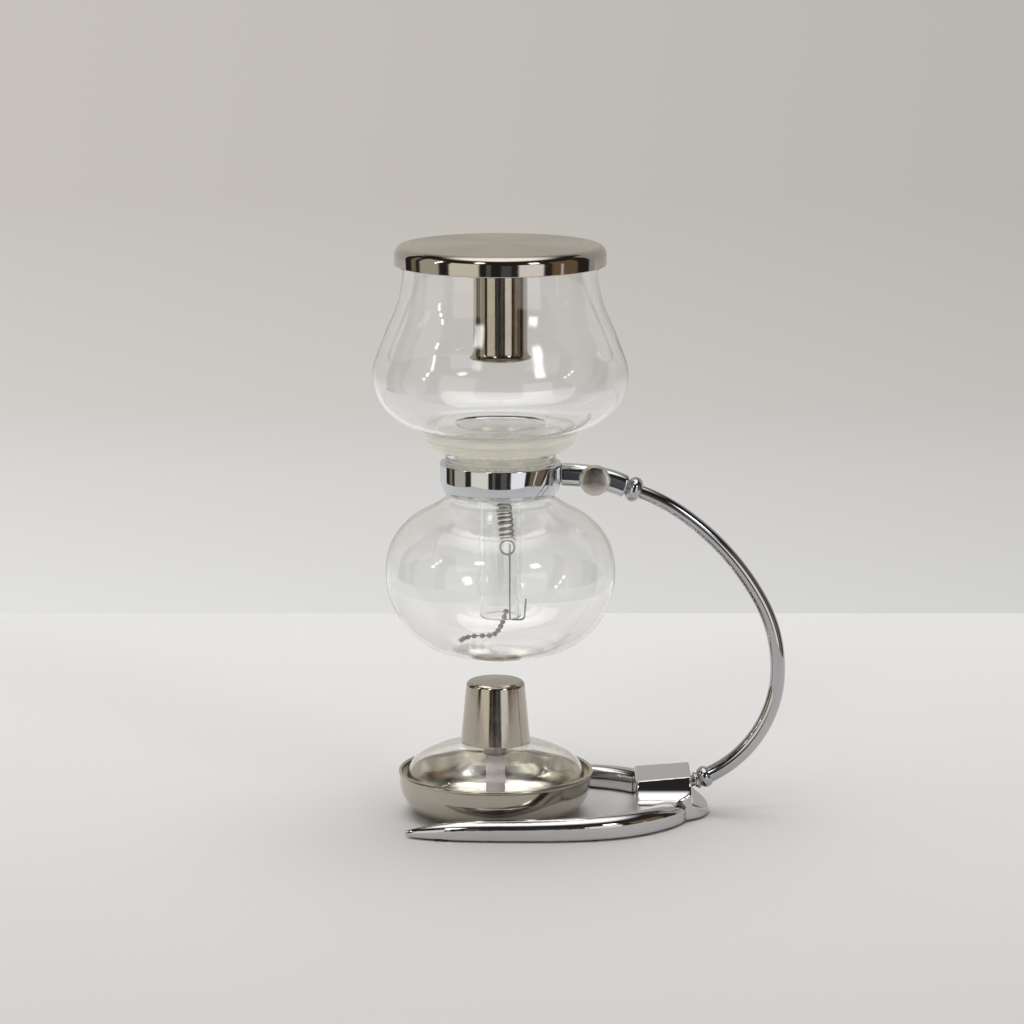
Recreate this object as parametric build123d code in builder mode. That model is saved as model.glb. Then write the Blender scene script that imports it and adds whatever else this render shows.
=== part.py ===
"""Table-top siphon coffee maker: two glass bowls on a clamp ring, a curved arm, a cast base and a spirit lamp.

Heights are above the table. Distances across are measured from the upright axis of the bowls, and the
part's own origin is on the table, in the middle of the whole outline, so AXIS_X moves one to the other.
"""
import math
import os

from build123d import *

os.makedirs("parts", exist_ok=True)

# Driving dimensions, in millimetres and degrees
HEIGHT = 252.0                  # table to the crown of the lid
BOWL_R = 55.3                   # widest radius of the upper bowl
ARM_REACH = 124.6               # bowl axis to the outside of the arm
AXIS_X = (BOWL_R - ARM_REACH) / 2
GLASS = 1.4                     # wall of both bowls
FIT = 0.05                      # radial clearance of a running fit
GAP = 0.25                      # clearance of soft and curved neighbours

LID_R = 45.8
LID_RIM_Z = 242.6
LID_SHEET = 0.9
LID_DROP = 0.75                 # fall of the crown from its middle to its shoulder
TUBE_R = 11.7
TUBE_WALL = 0.8
TUBE_FOOT_R = 13.4
TUBE_FOOT_Z = 202.0

MOUTH_R = 42.1
MOUTH_Z = 247.6
BOWL_FLOOR_Z = 171.0
NECK_R = 18.9
NECK_FOOT_Z = 149.5
STEM_R = 9.0
STEM_TOP_Z = 137.5
STEM_END_Z = 88.0
STEM_WALL = 1.2

SEAL_DISC_R = 33.2
SEAL_LIP_R = 31.9
SEAL_PLUG_R = 21.25
SEAL_FOOT_Z = 149.0

LOWER_R = 50.0
LOWER_MID_Z = 109.8
LOWER_FLOOR_Z = 71.0
LOWER_NECK_R = 22.9
LOWER_NECK_Z = 142.0
LOWER_BEAD_R = 23.9
LOWER_MOUTH_Z = 161.5

RING_R = 26.4
RING_BORE_R = 24.1
RING_Z = (143.5, 156.7)
LINER_Z = (142.6, 157.2)

BRACKET_DEPTH = 9.0
KNOB_AT = (40.8, 149.5)
KNOB_R = 6.75
KNOB_THICK = 4.6
SCREW_R = 2.0

ARM_R = 3.3
ARM_HEADING = -20.0             # way the arm leaves its bracket, below level
ARM_BENDS = ((81.0, 15.3), (114.0, 26.2), (64.0, 30.9), (52.0, 62.5))    # radius, turn
FERRULE_R = 5.1
FERRULE_SHANK_R = 3.6
UPPER_FERRULE = 6.2
LOWER_FERRULE = 6.2
STUD_R = 1.9
STUD_DEPTH = 8.0

BLOCK_X = (59.0, 83.5)
BLOCK_HALF = 13.5
BLOCK_TOP_Z = (17.5, 19.6)
PAD_R = 3.2
PAD_STAND = 0.5

LAMP_X = -2.2
TRAY_R = 42.7
TRAY_RIM_Z = 19.9
TRAY_SHEET = 0.9
LAMP_R = 39.0
LAMP_TOP_Z = 31.9
LAMP_GLASS = 1.5
CAP_FOOT_R = 15.2
CAP_TOP_R = 12.6
CAP_Z = (32.2, 60.0)
CAP_SHEET = 0.8
WICK_R = 4.4

AXIAL = Plane(origin=(AXIS_X, 0, 0), x_dir=(1, 0, 0), z_dir=(0, -1, 0))
GROUND = Plane(origin=(AXIS_X, 0, 0))
UPRIGHT = Axis((AXIS_X, 0, 0), (0, 0, 1))
LAMP_PLANE = Plane(origin=(AXIS_X + LAMP_X, 0, 0), x_dir=(1, 0, 0), z_dir=(0, -1, 0))
LAMP_UPRIGHT = Axis((AXIS_X + LAMP_X, 0, 0), (0, 0, 1))


def save(builder, name):
    """Label a finished piece and write it as its own STEP file."""
    builder.part.label = name
    export_step(builder.part, f"parts/{name}.step")


def inset(points, wall):
    """The points of a wall's other face: each one moved to the right of the way the outline runs."""
    moved = []
    for before, point, after in zip(points[:1] + points, points, points[1:] + points[-1:]):
        run_r = after[0] - before[0]
        run_z = after[1] - before[1]
        length = math.hypot(run_r, run_z)
        moved.append((point[0] + wall * run_z / length, point[1] - wall * run_r / length))
    return moved


# ---------------------------------------------------------------- lid
with BuildPart() as lid_cover:
    with BuildSketch(AXIAL):
        with BuildLine():
            crown = TangentArc((0, HEIGHT), (LID_R - 4.0, HEIGHT - LID_DROP), tangent=(1, 0))
            shoulder = TangentArc(crown @ 1, (LID_R, HEIGHT - 5.0), tangent=crown % 1)
            skirt = Line(shoulder @ 1, (LID_R, LID_RIM_Z))
            hem = Line(skirt @ 1, (LID_R - LID_SHEET, LID_RIM_Z))
            inner_skirt = Line(hem @ 1, (LID_R - LID_SHEET, HEIGHT - 5.0))
            inner_shoulder = TangentArc(inner_skirt @ 1, (LID_R - 4.1, HEIGHT - LID_DROP - LID_SHEET), tangent=(0, 1))
            underside = Line(inner_shoulder @ 1, (TUBE_R + 5, HEIGHT - 1.3))
            seat = Line(underside @ 1, (0, HEIGHT - 1.3))
            Line(seat @ 1, crown @ 0)
        make_face()
    revolve(axis=UPRIGHT)
save(lid_cover, "lid_cover")

with BuildPart() as lid_stand_tube:
    top_z = HEIGHT - 1.3
    with BuildSketch(AXIAL):
        with BuildLine():
            Polyline(
                (TUBE_R - TUBE_WALL, TUBE_FOOT_Z + 3.8),
                (TUBE_R - TUBE_WALL, top_z),
                (TUBE_R + 3.8, top_z),
                (TUBE_R + 3.8, top_z - TUBE_WALL),
                (TUBE_R, top_z - TUBE_WALL),
                (TUBE_R, TUBE_FOOT_Z + 4.0),
            )
            flare = TangentArc((TUBE_R, TUBE_FOOT_Z + 4.0), (TUBE_FOOT_R, TUBE_FOOT_Z + 0.4), tangent=(0, -1))
            foot = Polyline(flare @ 1, (TUBE_FOOT_R, TUBE_FOOT_Z), (TUBE_FOOT_R - TUBE_WALL, TUBE_FOOT_Z))
            TangentArc((TUBE_R - TUBE_WALL, TUBE_FOOT_Z + 3.8), foot @ 1, tangent=(0, -1))
        make_face()
    revolve(axis=UPRIGHT)
save(lid_stand_tube, "lid_stand_tube")

# ---------------------------------------------------------------- upper bowl and its seal
UPPER_OUTLINE = [
    (MOUTH_R, 240.0),
    (43.8, 228.0),
    (50.5, 211.0),
    (BOWL_R, 194.0),
    (52.5, 184.0),
    (43.4, 175.2),
    (30.5, BOWL_FLOOR_Z + 0.3),
]
NECK_OUTLINE = [
    (30.5, BOWL_FLOOR_Z + 0.3),
    (NECK_R, BOWL_FLOOR_Z),
    (NECK_R, NECK_FOOT_Z),
    (STEM_R, STEM_TOP_Z),
    (STEM_R, STEM_END_Z),
]
NECK_BENDS = (1.4, 3.0, 3.0)


def glass_wall(outline, first_way, last_way):
    """One smooth curve through an outline's points, with the way it sets off and the way it ends."""
    return Spline(*outline, tangents=(first_way, last_way))


with BuildPart() as upper_bowl:
    neck_inside = [
        (30.5, BOWL_FLOOR_Z + 0.3 + GLASS),
        (NECK_R - GLASS, BOWL_FLOOR_Z + GLASS),
        (NECK_R - GLASS, NECK_FOOT_Z + 0.8),
        (STEM_R - STEM_WALL, STEM_TOP_Z + 0.8),
        (STEM_R - STEM_WALL, STEM_END_Z),
    ]
    bowl_inside = inset(UPPER_OUTLINE, GLASS)
    bowl_inside[0] = (MOUTH_R - GLASS, UPPER_OUTLINE[0][1])
    bowl_inside[-1] = neck_inside[0]
    with BuildSketch(AXIAL):
        with BuildLine():
            lip = ThreePointArc(
                (MOUTH_R - GLASS, MOUTH_Z), (MOUTH_R - GLASS / 2, MOUTH_Z + GLASS / 2), (MOUTH_R, MOUTH_Z)
            )
            Line(lip @ 1, UPPER_OUTLINE[0])
            glass_wall(UPPER_OUTLINE, (0, -1), (-1, -0.03))
            FilletPolyline(*NECK_OUTLINE, radius=NECK_BENDS)
            Line(NECK_OUTLINE[-1], neck_inside[-1])
            FilletPolyline(*neck_inside, radius=(2.6, 2.0, 2.0))
            glass_wall(bowl_inside, (0, -1), (-1, -0.03))
            Line(bowl_inside[0], lip @ 0)
        make_face()
    revolve(axis=UPRIGHT)
save(upper_bowl, "upper_bowl")

with BuildPart() as bowl_seal:
    bore = NECK_R + FIT
    with BuildSketch(AXIAL):
        with BuildLine():
            top = Polyline(
                (bore, SEAL_FOOT_Z + 1.0),
                (bore, BOWL_FLOOR_Z - 2.2),
                (bore + 1.9, BOWL_FLOOR_Z - 0.3),
                (SEAL_DISC_R - 1.0, BOWL_FLOOR_Z - 0.1),
            )
            disc_edge = ThreePointArc(
                top @ 1, (SEAL_DISC_R, BOWL_FLOOR_Z - 1.6), (SEAL_DISC_R - 1.0, BOWL_FLOOR_Z - 3.0)
            )
            groove = Line(disc_edge @ 1, (SEAL_LIP_R - 1.4, BOWL_FLOOR_Z - 3.5))
            lip_edge = ThreePointArc(groove @ 1, (SEAL_LIP_R, BOWL_FLOOR_Z - 5.6), (SEAL_LIP_R - 2.0, 163.0))
            Polyline(
                lip_edge @ 1,
                (LOWER_BEAD_R + 1.4, LOWER_MOUTH_Z + GAP),
                (SEAL_PLUG_R + 0.1, LOWER_MOUTH_Z + GAP),
                (SEAL_PLUG_R - 0.5, SEAL_FOOT_Z),
                (bore + 0.8, SEAL_FOOT_Z),
                (bore, SEAL_FOOT_Z + 1.0),
            )
        make_face()
    revolve(axis=UPRIGHT)
save(bowl_seal, "bowl_seal")

# ---------------------------------------------------------------- filter, its spring, hook and chain
FILTER_Z = 151.2
FILTER_R = 16.4
SPRING_R = 3.1
SPRING_WIRE = 0.45
SPRING_Z = (122.6, 148.4)
SPRING_TURNS = 14
SPRING_LEAN = 3.0               # how far the spring's foot hangs off the axis
LOOP_Z = 118.9
WIRE_R = 0.4
HOOK_X = 4.0
HOOK_Y = -0.9                   # the hook's wire runs in front of the loop
BEAD_R = 1.2
BEAD_PITCH = 3.7

with BuildPart() as filter_plate:
    with BuildSketch(GROUND.offset(FILTER_Z)):
        Circle(FILTER_R - 1.1)
        Circle(1.6, mode=Mode.SUBTRACT)
        for ring, count in ((5.0, 8), (8.5, 14), (12.0, 20)):
            with PolarLocations(ring, count):
                Circle(0.8, mode=Mode.SUBTRACT)
    extrude(amount=0.8)
save(filter_plate, "filter_plate")

with BuildPart() as filter_cloth:
    with BuildSketch(AXIAL):
        with BuildLine():
            Polyline(
                (0, FILTER_Z + 0.85),
                (FILTER_R - 1.0, FILTER_Z + 0.85),
                (FILTER_R - 1.0, FILTER_Z - 0.7),
                (FILTER_R - 0.2, FILTER_Z - 0.7),
                (FILTER_R, FILTER_Z + 1.2),
                (FILTER_R - 0.6, FILTER_Z + 1.8),
                (0, FILTER_Z + 2.1),
                close=True,
            )
        make_face()
    revolve(axis=UPRIGHT)
save(filter_cloth, "filter_cloth")

with BuildPart() as filter_boss:
    with BuildSketch(AXIAL):
        with BuildLine():
            Polyline(
                (0, SPRING_Z[1] - 1.6),
                (SPRING_R - SPRING_WIRE - 0.4, SPRING_Z[1] - 1.6),
                (SPRING_R - SPRING_WIRE - 0.4, SPRING_Z[1] + 0.6),
                (4.2, SPRING_Z[1] + 0.6),
                (4.2, FILTER_Z),
                (1.55, FILTER_Z),
                (1.55, FILTER_Z + 0.8),
                (0, FILTER_Z + 0.8),
                close=True,
            )
        make_face()
    revolve(axis=UPRIGHT)
save(filter_boss, "filter_boss")

with BuildPart() as filter_spring:
    spring_foot = Vector(AXIS_X + SPRING_LEAN, 0, SPRING_Z[0])
    spring_way = Vector(AXIS_X, 0, SPRING_Z[1]) - spring_foot
    pitch = spring_way.length / SPRING_TURNS
    with BuildLine():
        coil = Helix(
            pitch=pitch, height=spring_way.length, radius=SPRING_R, center=spring_foot, direction=spring_way
        )
    with BuildSketch(Plane(origin=coil @ 0, z_dir=coil % 0)):
        Circle(SPRING_WIRE)
    sweep(is_frenet=True)
save(filter_spring, "filter_spring")

with BuildPart() as spring_loop:
    loop_x = AXIS_X + SPRING_LEAN
    with BuildSketch(Plane(origin=(loop_x + SPRING_R, 0, LOOP_Z), z_dir=(0, 0, 1))):
        Circle(SPRING_WIRE)
    revolve(axis=Axis((loop_x, 0, LOOP_Z), (0, 1, 0)))
save(spring_loop, "spring_loop")

with BuildPart() as filter_hook:
    hook_leg_x = STEM_R + WIRE_R + 1.0
    with BuildLine(Plane(origin=(AXIS_X, HOOK_Y, 0), x_dir=(1, 0, 0), z_dir=(0, -1, 0))):
        FilletPolyline(
            (HOOK_X, LOOP_Z + 1.6),
            (HOOK_X, STEM_END_Z - 1.3),
            (hook_leg_x, STEM_END_Z - 1.3),
            (hook_leg_x + 0.7, STEM_END_Z + 8.0),
            radius=1.6,
        )
    with BuildSketch(GROUND.offset(LOOP_Z + 1.6)):
        with Locations((HOOK_X, HOOK_Y)):
            Circle(WIRE_R)
    sweep()
save(filter_hook, "filter_hook")

CHAIN_ROUTE = (
    (2.3, -0.9, 90.4),
    (1.4, 2.2, 86.4),
    (-0.6, 7.4, 80.6),
    (-4.6, 13.2, 76.2),
    (-10.6, 15.4, 75.5),
    (-15.6, 11.2, 75.5),
    (-17.4, 6.0, 75.5),
)
with BuildPart() as bead_chain:
    with BuildLine(Plane(origin=(AXIS_X, 0, 0))):
        chain_run = Spline(*CHAIN_ROUTE)
    with BuildSketch(Plane(origin=chain_run @ 0, z_dir=chain_run % 0)):
        Circle(0.35)
    sweep()
    bead_count = round(chain_run.length / BEAD_PITCH) + 1
    with Locations(*[chain_run @ (bead / (bead_count - 1)) for bead in range(bead_count)]):
        Sphere(BEAD_R)
save(bead_chain, "bead_chain")

# ---------------------------------------------------------------- lower bowl and its clamp
LOWER_OUTLINE = [
    (LOWER_NECK_R, LOWER_NECK_Z),
    (25.6, 139.6),
    (40.2, 130.6),
    (47.8, 120.4),
    (LOWER_R, LOWER_MID_Z),
    (45.8, 90.9),
    (36.4, 79.2),
    (23.0, 73.0),
    (10.0, LOWER_FLOOR_Z + 0.1),
]

with BuildPart() as lower_bowl:
    lower_inside = inset(LOWER_OUTLINE, GLASS)
    lower_inside[0] = (LOWER_NECK_R - GLASS, LOWER_NECK_Z)
    lower_inside[-1] = (10.0, LOWER_FLOOR_Z + GLASS + 0.1)
    bead_foot = LOWER_MOUTH_Z - 3.4
    with BuildSketch(AXIAL):
        with BuildLine():
            rim = ThreePointArc(
                (LOWER_NECK_R - GLASS, LOWER_MOUTH_Z - 0.9),
                (LOWER_NECK_R - 0.2, LOWER_MOUTH_Z),
                (LOWER_BEAD_R, LOWER_MOUTH_Z - 1.3),
            )
            FilletPolyline(
                rim @ 1, (LOWER_BEAD_R, bead_foot + 0.6), (LOWER_NECK_R, bead_foot), LOWER_OUTLINE[0], radius=0.6
            )
            glass_wall(LOWER_OUTLINE, (0, -1), (-1, 0))
            Polyline(
                LOWER_OUTLINE[-1],
                (0, LOWER_FLOOR_Z + 0.1),
                (0, LOWER_FLOOR_Z + GLASS + 0.1),
                lower_inside[-1],
            )
            glass_wall(lower_inside, (0, -1), (-1, 0))
            Line(lower_inside[0], rim @ 0)
        make_face()
    revolve(axis=UPRIGHT)
save(lower_bowl, "lower_bowl")

with BuildPart() as clamp_ring:
    with BuildSketch(AXIAL):
        with BuildLine():
            bore_wall = Polyline((RING_BORE_R, RING_Z[0]), (RING_BORE_R, RING_Z[1]), (RING_R - 0.5, RING_Z[1]))
            edge = TangentArc(bore_wall @ 1, (RING_R, RING_Z[1] - 0.5), tangent=(1, 0))
            side = Line(edge @ 1, (RING_R, 150.2))
            lower_edge = TangentArc(side @ 1, (RING_R - 1.6, RING_Z[0]), tangent=(0, -1))
            Line(lower_edge @ 1, bore_wall @ 0)
        make_face()
    revolve(axis=UPRIGHT)
    split_plane = Plane(origin=(AXIS_X + 21.6, -14.4, 150.0), x_dir=(0.34, 0, 1), z_dir=(0.72, -0.66, -0.245))
    with BuildSketch(split_plane):
        Rectangle(24, 7)
    extrude(amount=0.5, both=True, mode=Mode.SUBTRACT)
save(clamp_ring, "clamp_ring")

with BuildPart() as clamp_liner:
    with BuildSketch(AXIAL):
        with Locations(((LOWER_NECK_R + RING_BORE_R) / 2, (LINER_Z[0] + LINER_Z[1]) / 2)):
            Rectangle(RING_BORE_R - LOWER_NECK_R - 2 * FIT, LINER_Z[1] - LINER_Z[0])
    revolve(axis=UPRIGHT, revolution_arc=352)
save(clamp_liner, "clamp_liner")

# ---------------------------------------------------------------- bracket, knob and screw
BRACKET_END = (54.3, 145.7)
ARM_WAY = (math.cos(math.radians(ARM_HEADING)), math.sin(math.radians(ARM_HEADING)))
BRACKET_SOCKET = Plane(
    origin=(AXIS_X + BRACKET_END[0], 0, BRACKET_END[1]),
    z_dir=(ARM_WAY[0], 0, ARM_WAY[1]),
)
BRACKET_HALF = 4.8
END_TOP = (BRACKET_END[0] - ARM_WAY[1] * BRACKET_HALF, BRACKET_END[1] + ARM_WAY[0] * BRACKET_HALF)
END_FOOT = (BRACKET_END[0] + ARM_WAY[1] * BRACKET_HALF, BRACKET_END[1] - ARM_WAY[0] * BRACKET_HALF)
ARM_TOP = (BRACKET_END[0] + UPPER_FERRULE * ARM_WAY[0], BRACKET_END[1] + UPPER_FERRULE * ARM_WAY[1])

with BuildPart() as arm_bracket:
    with BuildSketch(AXIAL):
        with BuildLine():
            upper_edge = Spline((20.0, 156.0), (38.0, 155.1), END_TOP, tangents=((1, 0), (1, -0.5)))
            end_face = Line(upper_edge @ 1, END_FOOT)
            lower = Spline(end_face @ 1, (40.0, 145.0), (20.0, 146.2), tangents=((-1, 0.45), (-1, 0)))
            Line(lower @ 1, upper_edge @ 0)
        make_face()
    extrude(amount=BRACKET_DEPTH / 2, both=True)
    long_edges = arm_bracket.edges().filter_by(lambda edge: edge.length > 30)
    fillet(long_edges, radius=3.2)
    with BuildSketch(GROUND.offset(RING_Z[0] - 5)):
        Circle(RING_R + 0.02)
    extrude(amount=30, mode=Mode.SUBTRACT)
    with BuildSketch(AXIAL):
        with Locations(KNOB_AT):
            Circle(SCREW_R + FIT)
    extrude(amount=BRACKET_DEPTH, both=True, mode=Mode.SUBTRACT)
    with BuildSketch(BRACKET_SOCKET):
        Circle(STUD_R)
    extrude(amount=-STUD_DEPTH, mode=Mode.SUBTRACT)
save(arm_bracket, "arm_bracket")

KNOB_AXIS = Axis((AXIS_X + KNOB_AT[0], 0, KNOB_AT[1]), (0, -1, 0))
KNOB_PLANE = Plane(origin=(AXIS_X + KNOB_AT[0], 0, KNOB_AT[1]), x_dir=(0, 0, 1), z_dir=(1, 0, 0))

with BuildPart() as clamp_knob:
    back = BRACKET_DEPTH / 2 + 0.9
    front = back + KNOB_THICK
    with BuildSketch(KNOB_PLANE):
        with BuildLine():
            hub = Polyline(
                (0, back - 0.8),
                (3.4, back - 0.8),
                (3.4, back),
                (KNOB_R - 0.7, back),
                (KNOB_R, back + 0.7),
                (KNOB_R, front - 0.9),
            )
            rim_round = TangentArc(hub @ 1, (KNOB_R - 0.9, front), tangent=(0, 1))
            face_dish = TangentArc((0, front - 0.35), rim_round @ 1, tangent=(1, 0))
            Line(face_dish @ 0, hub @ 0)
        make_face()
    revolve(axis=KNOB_AXIS)
save(clamp_knob, "clamp_knob")

with BuildPart() as clamp_screw:
    with BuildSketch(Plane(origin=(AXIS_X + KNOB_AT[0], 0, KNOB_AT[1]), x_dir=(1, 0, 0), z_dir=(0, -1, 0))):
        Circle(SCREW_R)
    extrude(amount=BRACKET_DEPTH / 2 + 0.1)
    extrude(clamp_screw.faces().sort_by(Axis.Y)[-1], amount=BRACKET_DEPTH / 2 - 0.4)
save(clamp_screw, "clamp_screw")

# ---------------------------------------------------------------- arm, ferrules and studs
with BuildPart() as support_arm:
    heading = math.radians(ARM_HEADING)
    with BuildLine(AXIAL):
        bend_start = ARM_TOP
        for radius, turn in ARM_BENDS:
            way = (math.cos(heading), math.sin(heading))
            bend = JernArc(start=bend_start, tangent=way, radius=radius, arc_size=-turn)
            bend_start = (bend @ 1).X - AXIS_X, (bend @ 1).Z
            heading -= math.radians(turn)
    with BuildSketch(Plane(origin=(AXIS_X + ARM_TOP[0], 0, ARM_TOP[1]), z_dir=(ARM_WAY[0], 0, ARM_WAY[1]))):
        Circle(ARM_R)
    sweep()
save(support_arm, "support_arm")
ARM_END = bend_start
ARM_END_WAY = (math.cos(heading), math.sin(heading))


def turned_ferrule(start, way, length, shank):
    """A ball collar from start along way: a shank, then the ball, then a narrow ring against the arm."""
    frame = Plane(origin=(AXIS_X + start[0], 0, start[1]), x_dir=(0, -1, 0), z_dir=(-way[1], 0, way[0]))
    ring_r = ARM_R + 0.9
    with BuildPart() as ferrule:
        with BuildSketch(frame):
            with BuildLine():
                lead = Polyline((0, 0), (FERRULE_SHANK_R, 0), (FERRULE_SHANK_R, shank))
                ball = ThreePointArc(lead @ 1, (FERRULE_R, (shank + length - 1.2) / 2), (ring_r, length - 1.2))
                Polyline(ball @ 1, (ring_r, length), (0, length), (0, 0))
            make_face()
        revolve(axis=Axis(frame.origin, frame.y_dir))
    return ferrule


upper_ferrule = turned_ferrule(BRACKET_END, ARM_WAY, UPPER_FERRULE, 1.2)
save(upper_ferrule, "upper_ferrule")

FOOT_END = (ARM_END[0] + LOWER_FERRULE * ARM_END_WAY[0], ARM_END[1] + LOWER_FERRULE * ARM_END_WAY[1])
lower_ferrule = turned_ferrule(FOOT_END, (-ARM_END_WAY[0], -ARM_END_WAY[1]), LOWER_FERRULE, 0.8)
save(lower_ferrule, "lower_ferrule")

with BuildPart() as upper_stud:
    with BuildSketch(BRACKET_SOCKET):
        Circle(STUD_R - FIT)
    extrude(amount=-STUD_DEPTH + 0.5)
save(upper_stud, "upper_stud")

with BuildPart() as lower_stud:
    foot_plane = Plane(origin=(AXIS_X + FOOT_END[0], 0, FOOT_END[1]), z_dir=(ARM_END_WAY[0], 0, ARM_END_WAY[1]))
    neck_length = (FOOT_END[0] - BLOCK_X[1]) / -ARM_END_WAY[0]
    with BuildSketch(foot_plane):
        Circle(FERRULE_SHANK_R - 0.7)
    extrude(amount=neck_length - 1.7)
    with BuildSketch(foot_plane):
        Circle(STUD_R - FIT)
    extrude(amount=neck_length + STUD_DEPTH - 0.5)
save(lower_stud, "lower_stud")

# ---------------------------------------------------------------- cast base and its pads
LEG_STATIONS = (    # along, across, width, height
    (-41.2, 43.9, 0.9, 2.9),
    (-35.0, 45.0, 4.8, 4.8),
    (-26.0, 46.6, 7.0, 6.7),
    (-12.0, 47.7, 8.8, 8.3),
    (10.0, 48.2, 9.4, 8.9),
    (32.0, 47.0, 9.8, 9.4),
    (50.0, 42.2, 10.4, 9.7),
    (62.0, 34.6, 11.0, 9.8),
    (71.0, 25.0, 11.6, 9.4),
    (76.0, 15.5, 11.0, 8.6),
)
TAIL_OUTLINE = ((72.0, -26.0), (78.0, -19.4), (84.0, -16.4), (89.0, -11.0), (91.4, -4.0))

with BuildPart() as base_leg:
    with BuildLine(GROUND):
        leg_path = Spline(*[(along, -across) for along, across, width, height in LEG_STATIONS])
    for along, across, width, height in LEG_STATIONS:
        spot = Vector(AXIS_X + along, -across, PAD_STAND)
        way = leg_path.tangent_at(leg_path.param_at_point(Vector(AXIS_X + along, -across, 0)))
        outwards = Vector(way.Y, -way.X, 0)
        with BuildSketch(Plane(origin=spot, x_dir=outwards, z_dir=-way)):
            with BuildLine():
                foot = Polyline((-width / 2, 0.55 * height), (-width / 2, 0), (width / 2, 0), (width / 2, 0.62 * height))
                ThreePointArc(foot @ 1, (-0.06 * width, height), foot @ 0)
            make_face()
    loft()

with BuildPart() as base_block:
    with BuildSketch(Plane(origin=(AXIS_X + BLOCK_X[0], 0, 0), x_dir=(0, 1, 0), z_dir=(1, 0, 0))):
        with BuildLine():
            shelf = Polyline((30, 8.4), (30, PAD_STAND), (-30, PAD_STAND), (-30, 8.4))
            rear_cove = ThreePointArc(shelf @ 1, (-17.6, 11.6), (-BLOCK_HALF, BLOCK_TOP_Z[1]))
            crest = Line(rear_cove @ 1, (BLOCK_HALF, BLOCK_TOP_Z[1]))
            ThreePointArc(crest @ 1, (17.6, 11.6), shelf @ 0)
        make_face()
    extrude(amount=BLOCK_X[1] - BLOCK_X[0])
    with BuildSketch(GROUND):
        with BuildLine():
            flank = Polyline((58.0, 0), (58.0, -36.0), (66.0, -32.5), (74.0, -24.0), (78.0, -19.4), (84.0, -16.6), (84.0, 0))
            mirror(about=Plane.XZ)
        make_face()
    extrude(amount=40, mode=Mode.INTERSECT)
    with BuildSketch(AXIAL):
        with BuildLine():
            Polyline(
                (BLOCK_X[0] - 1, BLOCK_TOP_Z[0]), (BLOCK_X[1] + 1, BLOCK_TOP_Z[1]), (BLOCK_X[1] + 1, 30),
                (BLOCK_X[0] - 1, 30), close=True,
            )
        make_face()
    extrude(amount=30, both=True, mode=Mode.SUBTRACT)

with BuildPart() as base_tail:
    with BuildSketch(GROUND.offset(PAD_STAND)):
        with BuildLine():
            Polyline((72.0, 26.0), (72.0, -26.0))
            Spline(*TAIL_OUTLINE, *[(along, -across) for along, across in TAIL_OUTLINE[::-1]])
        make_face()
    extrude(amount=9.0)
    with BuildSketch(AXIAL):
        with BuildLine():
            Polyline((80.5, 9.8), (93.0, 3.0), (95.0, 12.0), (80.5, 12.0), close=True)
        make_face()
    extrude(amount=30, both=True, mode=Mode.SUBTRACT)

PAD_SPOTS = ((-25.0, 46.7), (-25.0, -46.7), (40.0, 45.6), (40.0, -45.6), (82.0, 0.0))
with BuildPart() as base_casting:
    add(base_leg.part)
    add(mirror(base_leg.part, about=Plane.XZ))
    add(base_block.part)
    add(base_tail.part)
    with BuildSketch(GROUND.offset(PAD_STAND)):
        with Locations(*PAD_SPOTS):
            Circle(PAD_R + FIT)
    extrude(amount=1.0, mode=Mode.SUBTRACT)
    with BuildSketch(foot_plane):
        Circle(STUD_R)
    extrude(amount=neck_length + STUD_DEPTH, mode=Mode.SUBTRACT)
save(base_casting, "base_casting")

with BuildPart() as foot_pads:
    with BuildSketch(GROUND):
        with Locations(*PAD_SPOTS):
            Circle(PAD_R)
    extrude(amount=PAD_STAND + 0.95)
save(foot_pads, "foot_pads")

# ---------------------------------------------------------------- spirit lamp
with BuildPart() as lamp_tray:
    with BuildSketch(LAMP_PLANE):
        with BuildLine():
            floor = Line((0, 0), (27.0, 0))
            turn_up = TangentArc(floor @ 1, (TRAY_R - 0.9, 12.5), tangent=(1, 0))
            wall = Line(turn_up @ 1, (TRAY_R - 0.35, TRAY_RIM_Z - 1.2))
            rim_roll = ThreePointArc(wall @ 1, (TRAY_R, TRAY_RIM_Z - 0.6), (TRAY_R - 0.7, TRAY_RIM_Z))
            inner_rim = Line(rim_roll @ 1, (TRAY_R - 0.35 - TRAY_SHEET, TRAY_RIM_Z - 1.2))
            inner_wall = Line(inner_rim @ 1, (TRAY_R - 0.9 - TRAY_SHEET, 12.5))
            inner_turn = TangentArc((27.0, TRAY_SHEET), inner_wall @ 1, tangent=(1, 0))
            Polyline(inner_turn @ 0, (0, TRAY_SHEET), (0, 0))
        make_face()
    revolve(axis=LAMP_UPRIGHT)
save(lamp_tray, "lamp_tray")

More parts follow.
